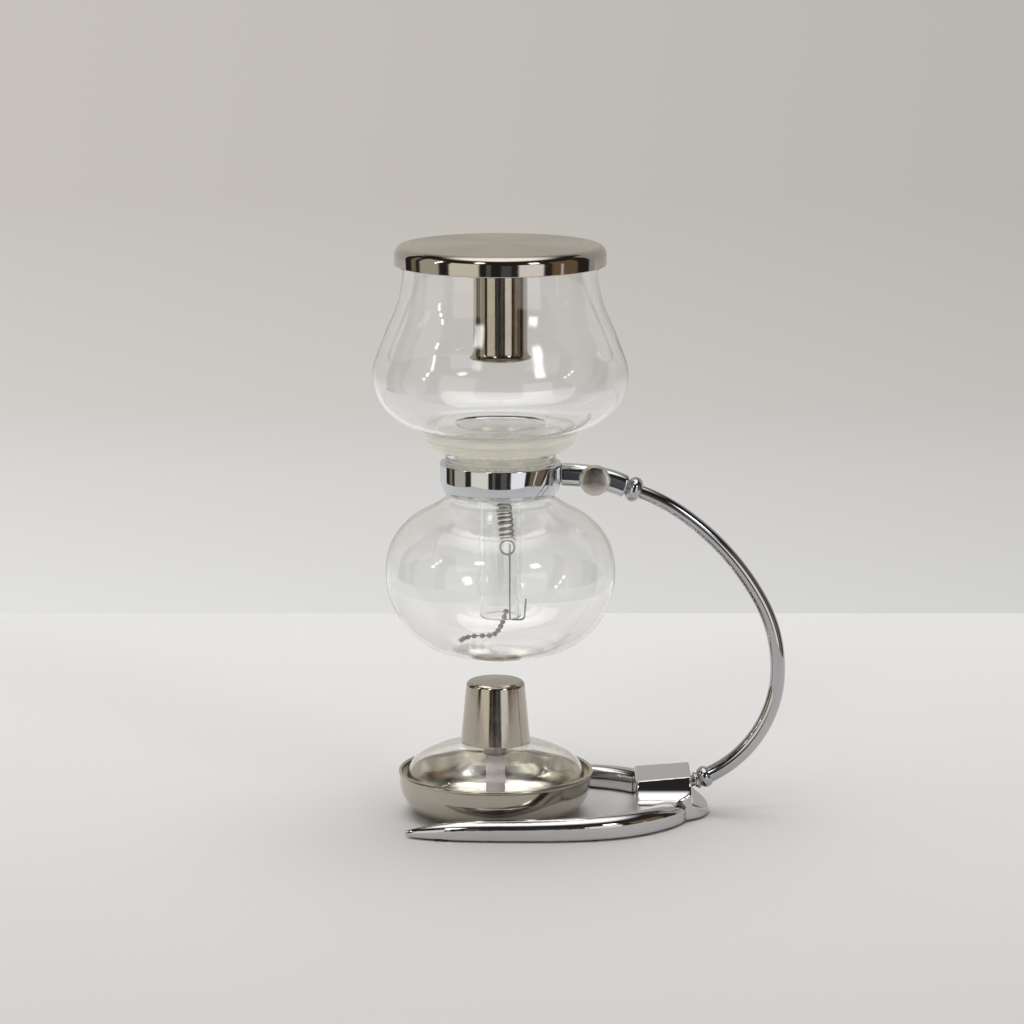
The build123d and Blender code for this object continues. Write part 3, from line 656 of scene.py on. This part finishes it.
dress(make_seal(), "upper_bowl", "seal_silicone", "bowl_seal")
dress(make_ring(), "stand", "ring_chrome", "clamp_ring")
dress(make_liner(), "stand", "liner_silicone", "clamp_liner")


# ---------------------------------------------------------------- arm and its ferrules
# Where the upper ferrule starts, in millimetres from the bowls' axis, and which way it points.
BRACKET_END = Vector((54.3, 0.0, 145.7))
ARM_HEADING = math.radians(-20.0)
FERRULE_LENGTH = 6.2
# Each bend's radius and turn in degrees, from the bracket down to the foot.
ARM_BENDS = ((81.0, 15.3), (114.0, 26.2), (64.0, 30.9), (52.0, 62.5))
STEPS_PER_DEGREE = 3
ARM_TOP_R, ARM_FOOT_R = 2.9, 3.6


def bowl_point(across, height):
    """A point of the arm's plane, from its distance from the bowls' axis and its height."""
    return Vector((BOWL_X + across * MM, 0.0, height * MM))


def arm_path():
    """The arm's centre line, its bends one after the other, and the way it runs at its end."""
    heading = ARM_HEADING
    spot = BRACKET_END + FERRULE_LENGTH * Vector((math.cos(heading), 0, math.sin(heading)))
    path = [bowl_point(spot.x, spot.z)]
    for radius, turn in ARM_BENDS:
        steps = round(turn * STEPS_PER_DEGREE)
        half_step = math.radians(turn) / steps / 2
        stride = 2 * radius * math.sin(half_step)
        for _ in range(steps):
            heading -= half_step
            spot = spot + stride * Vector((math.cos(heading), 0, math.sin(heading)))
            heading -= half_step
            path.append(bowl_point(spot.x, spot.z))
    return path, heading


def turned_collar(name, start, heading, shank, ball_r):
    """A ball collar: a shank with a small ring, then a full round ball that takes in the arm's end."""
    neck_r, ring_r = 3.3, 3.8
    stop = FERRULE_LENGTH + 0.8
    widest = 62
    across = (ball_r - neck_r) / (1 - math.cos(math.radians(widest)))
    along = (stop - shank) / 2 / math.sin(math.radians(widest))
    ball = arc((ball_r - across, (shank + stop) / 2), (across, along), -widest, widest, 36)
    ring = [
        (0, 0),
        (ring_r - 0.15, 0.0),
        (ring_r, 0.12),
        (ring_r, shank * 0.6),
        (ring_r - 0.15, shank * 0.7),
        (neck_r, shank * 0.75),
    ]
    tilt = Matrix.Rotation(math.pi / 2 - heading, 4, "Y")
    return lathe(name, ring + ball + [(0, stop)], segments=96, place=Matrix.Translation(start) @ tilt)


arm_line, arm_end_heading = arm_path()
last_point = len(arm_line) - 1
arm_radii = [ARM_TOP_R + (ARM_FOOT_R - ARM_TOP_R) * index / last_point for index in range(len(arm_line))]
dress(tube("support_arm_bar", arm_line, arm_radii, 80), "stand", "arm_chrome", "support_arm")
dress(turned_collar("upper_ferrule_turned", bowl_point(BRACKET_END.x, BRACKET_END.z), ARM_HEADING, 0.6, 5.6),
      "stand", "arm_chrome", "upper_ferrule")
foot_way = Vector((math.cos(arm_end_heading), 0, math.sin(arm_end_heading)))
foot_start = arm_line[-1] + foot_way * FERRULE_LENGTH * MM
dress(turned_collar("lower_ferrule_turned", foot_start, arm_end_heading + math.pi, 1.8, 4.8),
      "stand", "arm_chrome", "lower_ferrule")


# ---------------------------------------------------------------- bracket, base and knob
def softened(name, node, voxel, rounds):
    """A finer copy of a CAD casting with its edges worn round, as on a polished casting."""
    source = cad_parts[node]
    piece = bpy.data.objects.new(name, source.data.copy())
    piece.data.materials.clear()
    bpy.context.scene.collection.objects.link(piece)
    remesh = piece.modifiers.new("even_mesh", "REMESH")
    remesh.mode = "VOXEL"
    remesh.voxel_size = voxel
    remesh.use_smooth_shade = True
    soften = piece.modifiers.new("soft_edges", "SMOOTH")
    soften.factor = 0.5
    soften.iterations = rounds
    return piece


dress(softened("arm_bracket_cast", "arm_bracket", 0.0003, 14), "stand", "ring_chrome", "arm_bracket")
dress(softened("base_casting_polished", "base_casting", 0.00045, 26), "stand", "cast_chrome", "base_casting")


def make_knob():
    """A turned knob: a short hub, a rounded rim and a low dome on its face."""
    hub_r, hub_length, dome_rise = 3.4, 0.8, 1.0
    radius = (knob_high.x - knob_low.x) / 2 / MM
    thick = (knob_high.y - knob_low.y) / MM
    side = rounded([
        (0.0, 0.0),
        (hub_r, 0.0),
        (hub_r, hub_length, 0.2),
        (radius, hub_length, 0.7),
        (radius, thick - 0.9),
    ])
    dome = arc((0.0, thick - dome_rise - 0.05), (radius, dome_rise), 24, 90, 22)
    base = Matrix.Translation((KNOB_CENTRE[0], knob_high.y, KNOB_CENTRE[2]))
    place = base @ Matrix.Rotation(math.pi / 2, 4, "X")
    return lathe("clamp_knob_turned", side[:-1] + dome, segments=128, place=place)


dress(make_knob(), "clamp_knob", "knob_steel", "clamp_knob")


# ---------------------------------------------------------------- lamp
TRAY_R = 42.7
TRAY_RIM_Z = 19.9
TRAY_SHEET = 0.9
LAMP_FLOOR_Z = TRAY_SHEET + 0.05
LAMP_OUTLINE = [
    (24.0, LAMP_FLOOR_Z),
    (33.4, 4.6),
    (37.6, 11.0),
    (39.0, 17.5),
    (36.6, 23.0),
    (28.0, 28.4),
    (18.5, 31.1),
    (13.6, 31.9),
]
LAMP_GLASS = 1.5
LAMP_NECK_R, LAMP_NECK_Z = 11.0, 37.4


def make_tray():
    """A spun dish with a rolled rim."""
    roll_r = 0.85
    side = smooth([(27.0, 0.0), (37.6, 4.4), (TRAY_R - 0.9, 12.5)], (1, 0), (0.17, 1))
    outer = [(0.0, 0.0), (26.6, 0.0)] + side + [(TRAY_R - 0.45, TRAY_RIM_Z - 1.9)]
    roll = arc((TRAY_R - roll_r, TRAY_RIM_Z - roll_r), (roll_r, roll_r), -60, 205, 20)
    return lathe("lamp_tray_spun", outer + roll + inner_face(outer, -TRAY_SHEET)[::-1], LAMP_X)


def tray_face_painted_light(face):
    """Whether a face of the tray belongs to its inside, which a lighter copy of its nickel brightens as
    painted light.
    """
    outward = Vector((face.center.x - LAMP_X, face.center.y, 0.0))
    leans_in = face.normal.dot(outward) < 0 and face.normal.z > 0
    return face.center.z < (TRAY_RIM_Z - 2.5) * MM and (face.normal.z > 0.7 or leans_in)


def make_lamp_glass():
    """A squat blown flask with a short neck."""
    body = smooth(LAMP_OUTLINE, (1, 0), (-1, 0.12))
    neck = rounded([LAMP_OUTLINE[-1], (LAMP_NECK_R, 32.2, 0.8), (LAMP_NECK_R, LAMP_NECK_Z - 0.7)])
    outer = [(0.0, LAMP_FLOOR_Z)] + body + neck[1:]
    inner = inner_face(outer, -LAMP_GLASS)
    return lathe("lamp_glass_blown", outer + round_end(outer[-1], inner[-1]) + inner[::-1], LAMP_X)


def make_cap():
    """A drawn cap with a low crown and a rolled lip."""
    foot_r, top_r, low_z, top_z, sheet = 15.2, 12.6, 32.2, 60.0, 0.8
    side = rounded([(foot_r, low_z + 0.5), (top_r + 0.1, top_z - 0.6, 2.3), (4.0, top_z - 0.05)], 12)
    outer = side + [(0.0, top_z)]
    lip = [(foot_r - sheet + 0.1, low_z + 0.1), (foot_r - 0.35, low_z), (foot_r + 0.02, low_z + 0.12)]
    return lathe("lamp_cap_drawn", outer + inner_face(outer, -sheet)[::-1] + lip, LAMP_X, 128)


def make_wick_holder():
    """A pressed tube for the wick with a collar that hangs over the lamp's neck."""
    wick_r, holder_r = 4.45, 5.25
    neck_r = LAMP_NECK_R + 0.05
    outline = rounded([
        (wick_r, 26.0),
        (holder_r, 26.0, 0.1),
        (holder_r, 37.5, 0.3),
        (neck_r, 37.5, 0.3),
        (neck_r, 34.2, 0.1),
        (neck_r + 0.8, 34.2, 0.3),
        (neck_r + 0.8, 38.2, 0.5),
        (holder_r, 38.2, 0.6),
        (holder_r, 47.0, 0.2),
        (wick_r, 47.0, 0.1),
        (wick_r, 26.0),
    ])
    return lathe("wick_holder_pressed", outline, LAMP_X, 96)


def make_wick():
    """Plaited cotton: a round wick whose surface winds in lobes, rounded off at its top."""
    core_r, lobe_height, strands, twist = 4.08, 0.24, 11, 1.1
    low, high, tip = 4.0, 50.6, 1.6
    sides, rows = 96, 130
    work = bmesh.new()
    rings = []
    for row in range(rows + 1):
        z = low + (high - low) * row / rows
        end = min(1.0, (high - z) / tip + 0.25)
        ring = []
        for side in range(sides):
            angle = 2 * math.pi * side / sides
            lobes = math.cos(strands * angle + z * twist) * math.cos(strands * angle - z * twist)
            radius = (core_r + lobe_height * lobes) * (1 - (1 - end) ** 2)
            x = LAMP_X + radius * MM * math.cos(angle)
            ring.append(work.verts.new((x, radius * MM * math.sin(angle), z * MM)))
        rings.append(ring)
    return bar("lamp_wick_plaited", work, rings)


tray = dress(make_tray(), "lamp", "tray_nickel", "lamp_tray")
# Painted light: the inside faces take the lighter copy of the nickel.
dress_faces(tray, "tray_inside_painted_light", tray_face_painted_light)
dress(make_lamp_glass(), "lamp", "lamp_clear_glass", "lamp_glass")
dress(make_cap(), "lamp_cap", "cap_nickel", "lamp_cap")
dress(make_wick_holder(), "lamp", "plated_screw", "wick_holder")
dress(make_wick(), "lamp", "wick_cotton", "lamp_wick")


# ---------------------------------------------------------------- CAD pieces whose shape stays
KEPT_LOOKS = {
    "foot_pads": "pad_rubber",
    "lower_stud": "plated_screw",
    "upper_stud": "plated_screw",
    "clamp_screw": "plated_screw",
    "filter_plate": "filter_steel",
    "filter_cloth": "filter_flannel",
    "filter_boss": "filter_steel",
    "filter_spring": "filter_steel",
    "spring_loop": "filter_steel",
    "filter_hook": "filter_steel",
    "bead_chain": "filter_steel",
}
for node, look in KEPT_LOOKS.items():
    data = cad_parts[node].data
    data.materials.clear()
    data.materials.append(looks[look])


# ---------------------------------------------------------------- studio
def stage_mesh(name, corners, faces, look):
    """A plain mesh that belongs to the studio and not to the object."""
    mesh = bpy.data.meshes.new(name)
    mesh.from_pydata(corners, [], faces)
    piece = bpy.data.objects.new(name, mesh)
    bpy.context.scene.collection.objects.link(piece)
    mesh.materials.append(look.material)
    return piece


TABLE_FRONT, TABLE_BACK = -0.5, 0.418
TABLE_SIDE = 0.62
TABLE_THICK = 0.03
WALL_Y = 2.1
WALL_SIDE = 3.2
WALL_LOW_Z, WALL_HIGH_Z = -0.7, 2.6

# The table is a little darker in front than at its back: painted shade, as if less light fell on its front.
table_look = Surface("table_paint_and_painted_shade")
table_spot = table_look.add("ShaderNodeSeparateXYZ")
table_look.link(table_look.place, table_spot.inputs[0])
backward_painted_shade = table_look.spread(table_spot.outputs["Y"], 0.0, 1.0, -0.35, 0.35)
table_look.colour(backward_painted_shade, (0.71, 0.692, 0.686), (0.815, 0.81, 0.812))
table_look.set(Roughness=0.8, Specular_IOR_Level=0.15)
table_outline = [
    (-TABLE_SIDE, TABLE_FRONT),
    (TABLE_SIDE, TABLE_FRONT),
    (TABLE_SIDE, TABLE_BACK),
    (-TABLE_SIDE, TABLE_BACK),
]
stage_mesh("table", [(x, y, z) for z in (0.0, -TABLE_THICK) for x, y in table_outline],
           [(0, 1, 2, 3), (7, 6, 5, 4), (0, 4, 5, 1), (1, 5, 6, 2), (2, 6, 7, 3), (3, 7, 4, 0)], table_look)

# The backdrop glows by itself: lightest low down, greyer and warmer higher up, darker to the right.
wall_look = Surface("backdrop_paper")
wall_look.set(Roughness=0.9, Specular_IOR_Level=0.0, Base_Color=(0.12, 0.12, 0.12, 1), Emission_Strength=1.0)
wall_spot = wall_look.add("ShaderNodeSeparateXYZ")
wall_look.link(wall_look.place, wall_spot.inputs[0])
low_rise = wall_look.spread(wall_spot.outputs["Z"], 0.0, 1.0, -0.42, -0.16)
high_rise = wall_look.spread(wall_spot.outputs["Z"], 0.0, 1.0, -0.22, 0.04)
low_part = wall_look.tint(low_rise, (0.71, 0.71, 0.71), (0.575, 0.56, 0.54))
paper = wall_look.tint(high_rise, low_part, (0.485, 0.46, 0.425))
shaded = wall_look.add("ShaderNodeVectorMath", operation="SCALE")
wall_look.link(paper, shaded.inputs[0])
wall_look.link(wall_look.spread(wall_spot.outputs["X"], 1.06, 0.86, -0.6, 0.6), shaded.inputs["Scale"])
wall_look.link(shaded.outputs[0], wall_look.shader.inputs["Emission Color"])
wall_corners = [
    (-WALL_SIDE, WALL_Y, WALL_LOW_Z),
    (WALL_SIDE, WALL_Y, WALL_LOW_Z),
    (WALL_SIDE, WALL_Y, WALL_HIGH_Z),
    (-WALL_SIDE, WALL_Y, WALL_HIGH_Z),
]
stage_mesh("backdrop", wall_corners, [(0, 1, 2, 3)], wall_look)


STUDIO_CENTRE = Vector((BOWL_X, 0, 0.12))


def area_light(name, spot, width, height, power):
    """A light that the camera doesn't see, aimed at the middle of the object."""
    light = bpy.data.lights.new(name, "AREA")
    light.shape = "RECTANGLE"
    light.size, light.size_y = width, height
    light.energy = power
    lamp = bpy.data.objects.new(name, light)
    lamp.location = spot
    lamp.rotation_euler = (STUDIO_CENTRE - Vector(spot)).to_track_quat("-Z", "Y").to_euler()
    bpy.context.scene.collection.objects.link(lamp)
    lamp.visible_camera = False
    return lamp


def around(azimuth, elevation, distance):
    """A spot round the object: azimuth 0 is in front, positive to the right."""
    azimuth, elevation = math.radians(azimuth), math.radians(elevation)
    way = Vector((
        math.sin(azimuth) * math.cos(elevation),
        -math.cos(azimuth) * math.cos(elevation),
        math.sin(elevation),
    ))
    return STUDIO_CENTRE + distance * way


overhead = area_light("overhead", (-0.3, 0.4, 2.3), 2.8, 2.0, 26.0)
overhead.visible_glossy = False
for step in range(3):
    area_light(f"left_window_{step}", around(-74 + 2 * step, 16 + 6.5 * step, 2.2), 0.075, 0.17, 0.45)


class Room:
    """The room the metal mirrors: dark, with soft-edged brighter panels placed by azimuth and elevation."""

    def __init__(self, plain, dark):
        world = bpy.data.worlds.new("studio")
        bpy.context.scene.world = world
        world.use_nodes = True
        self.tree = world.node_tree
        self.background = self.tree.nodes["Background"]
        facing = self.tree.nodes.new("ShaderNodeTexCoord").outputs["Generated"]
        way = self.tree.nodes.new("ShaderNodeSeparateXYZ")
        self.tree.links.new(facing, way.inputs[0])
        front = self.math("MULTIPLY", way.outputs["Y"], -1.0)
        self.azimuth = self.math("DEGREES", self.math("ARCTAN2", way.outputs["X"], front))
        self.elevation = self.math("DEGREES", self.math("ARCSINE", way.outputs["Z"]))
        self.light = dark
        self.plain = plain

    def math(self, operation, *values):
        """A math node. Each value is a number or another node's output."""
        made = self.tree.nodes.new("ShaderNodeMath")
        made.operation = operation
        for socket, value in zip(made.inputs, values):
            if isinstance(value, float):
                socket.default_value = value
            else:
                self.tree.links.new(value, socket)
        return made.outputs[0]

    def step(self, value, start, stop):
        """A soft step from 0 at start to 1 at stop."""
        made = self.tree.nodes.new("ShaderNodeMapRange")
        made.interpolation_type = "SMOOTHSTEP"
        self.tree.links.new(value, made.inputs["Value"])
        made.inputs["From Min"].default_value = start
        made.inputs["From Max"].default_value = stop
        return made.outputs["Result"]

    def panel(self, colour, left, right, low, high, soft):
        """Lays a bright (or dark) panel over what is there already. Its edges are soft degrees wide."""
        across = self.math("MULTIPLY", self.step(self.azimuth, left - soft / 2, left + soft / 2),
                           self.step(self.azimuth, right + soft / 2, right - soft / 2))
        up = self.math("MULTIPLY", self.step(self.elevation, low - soft / 2, low + soft / 2),
                       self.step(self.elevation, high + soft / 2, high - soft / 2))
        self.light = mix_colours(self.tree, self.math("MULTIPLY", across, up), self.light, colour)

    def finish(self):
        """Links the room. Rays straight from the camera or just out of clear glass see the plain colour."""
        path = self.tree.nodes.new("ShaderNodeLightPath")
        mirrored = self.math("ADD", path.outputs["Glossy Depth"], path.outputs["Diffuse Depth"])
        direct = self.math("LESS_THAN", mirrored, 0.5)
        through = self.math("MULTIPLY", path.outputs["Is Transmission Ray"], direct)
        seen = self.math("MAXIMUM", path.outputs["Is Camera Ray"], through)
        shown = mix_colours(self.tree, seen, self.light, self.plain)
        self.tree.links.new(shown, self.background.inputs["Color"])
        self.background.inputs["Strength"].default_value = 1.0


# Each panel's colour, left and right side, low and high edge and softness, in degrees: the ceiling first,
# then round the room from the back left, and two small bright lamps in front.
room = Room(plain=(0.62, 0.61, 0.60), dark=(0.03, 0.027, 0.024))
room.panel((1.75, 1.74, 1.72), -200, 200, 62, 120, 18.0)
room.panel((0.40, 0.39, 0.36), -140, -128, -60, 44, 4.0)
room.panel((0.26, 0.21, 0.15), -112, -104, -24, 30, 4.0)
room.panel((0.55, 0.53, 0.45), -97, -70, -24, 36, 4.0)
room.panel((0.95, 0.93, 0.80), -57, -23, -28, 26, 3.0)
room.panel((0.14, 0.13, 0.12), -15, -10, -26, 22, 2.0)
room.panel((0.11, 0.11, 0.12), 1, 12, -22, 12, 2.5)
room.panel((1.15, 1.12, 1.12), 20, 48, -28, 17, 3.0)
room.panel((0.20, 0.14, 0.09), 58, 92, -28, 30, 4.0)
room.panel((0.75, 0.74, 0.70), 69, 72, -28, 8, 1.5)
room.panel((0.42, 0.42, 0.42), 112, 134, -30, 42, 5.0)
room.panel((8.5, 8.5, 8.5), -30, -20, 35, 42, 5.0)
room.panel((8.5, 8.5, 8.5), 34.5, 44.5, 25, 34, 5.0)
room.finish()

# ---------------------------------------------------------------- camera
CAMERA_BACK = 1.743
CAMERA_HEIGHT = 0.4625
CAMERA_PITCH = math.radians(10.66)
CAMERA_SHIFT_X = 0.005
CAMERA_LENS = 143.5
camera = bpy.data.objects.new("camera", bpy.data.cameras.new("camera"))
camera.data.lens = CAMERA_LENS
camera.location = (BOWL_X + CAMERA_SHIFT_X, -CAMERA_BACK, CAMERA_HEIGHT)
camera.rotation_euler = (math.pi / 2 - CAMERA_PITCH, 0, 0)
camera.data.clip_start, camera.data.clip_end = 0.05, 20.0
bpy.context.scene.collection.objects.link(camera)
bpy.context.scene.camera = camera
bpy.context.scene.view_settings.view_transform = "Standard"
bpy.context.scene.cycles.max_bounces = 24
bpy.context.scene.cycles.transmission_bounces = 24
bpy.context.scene.cycles.glossy_bounces = 8
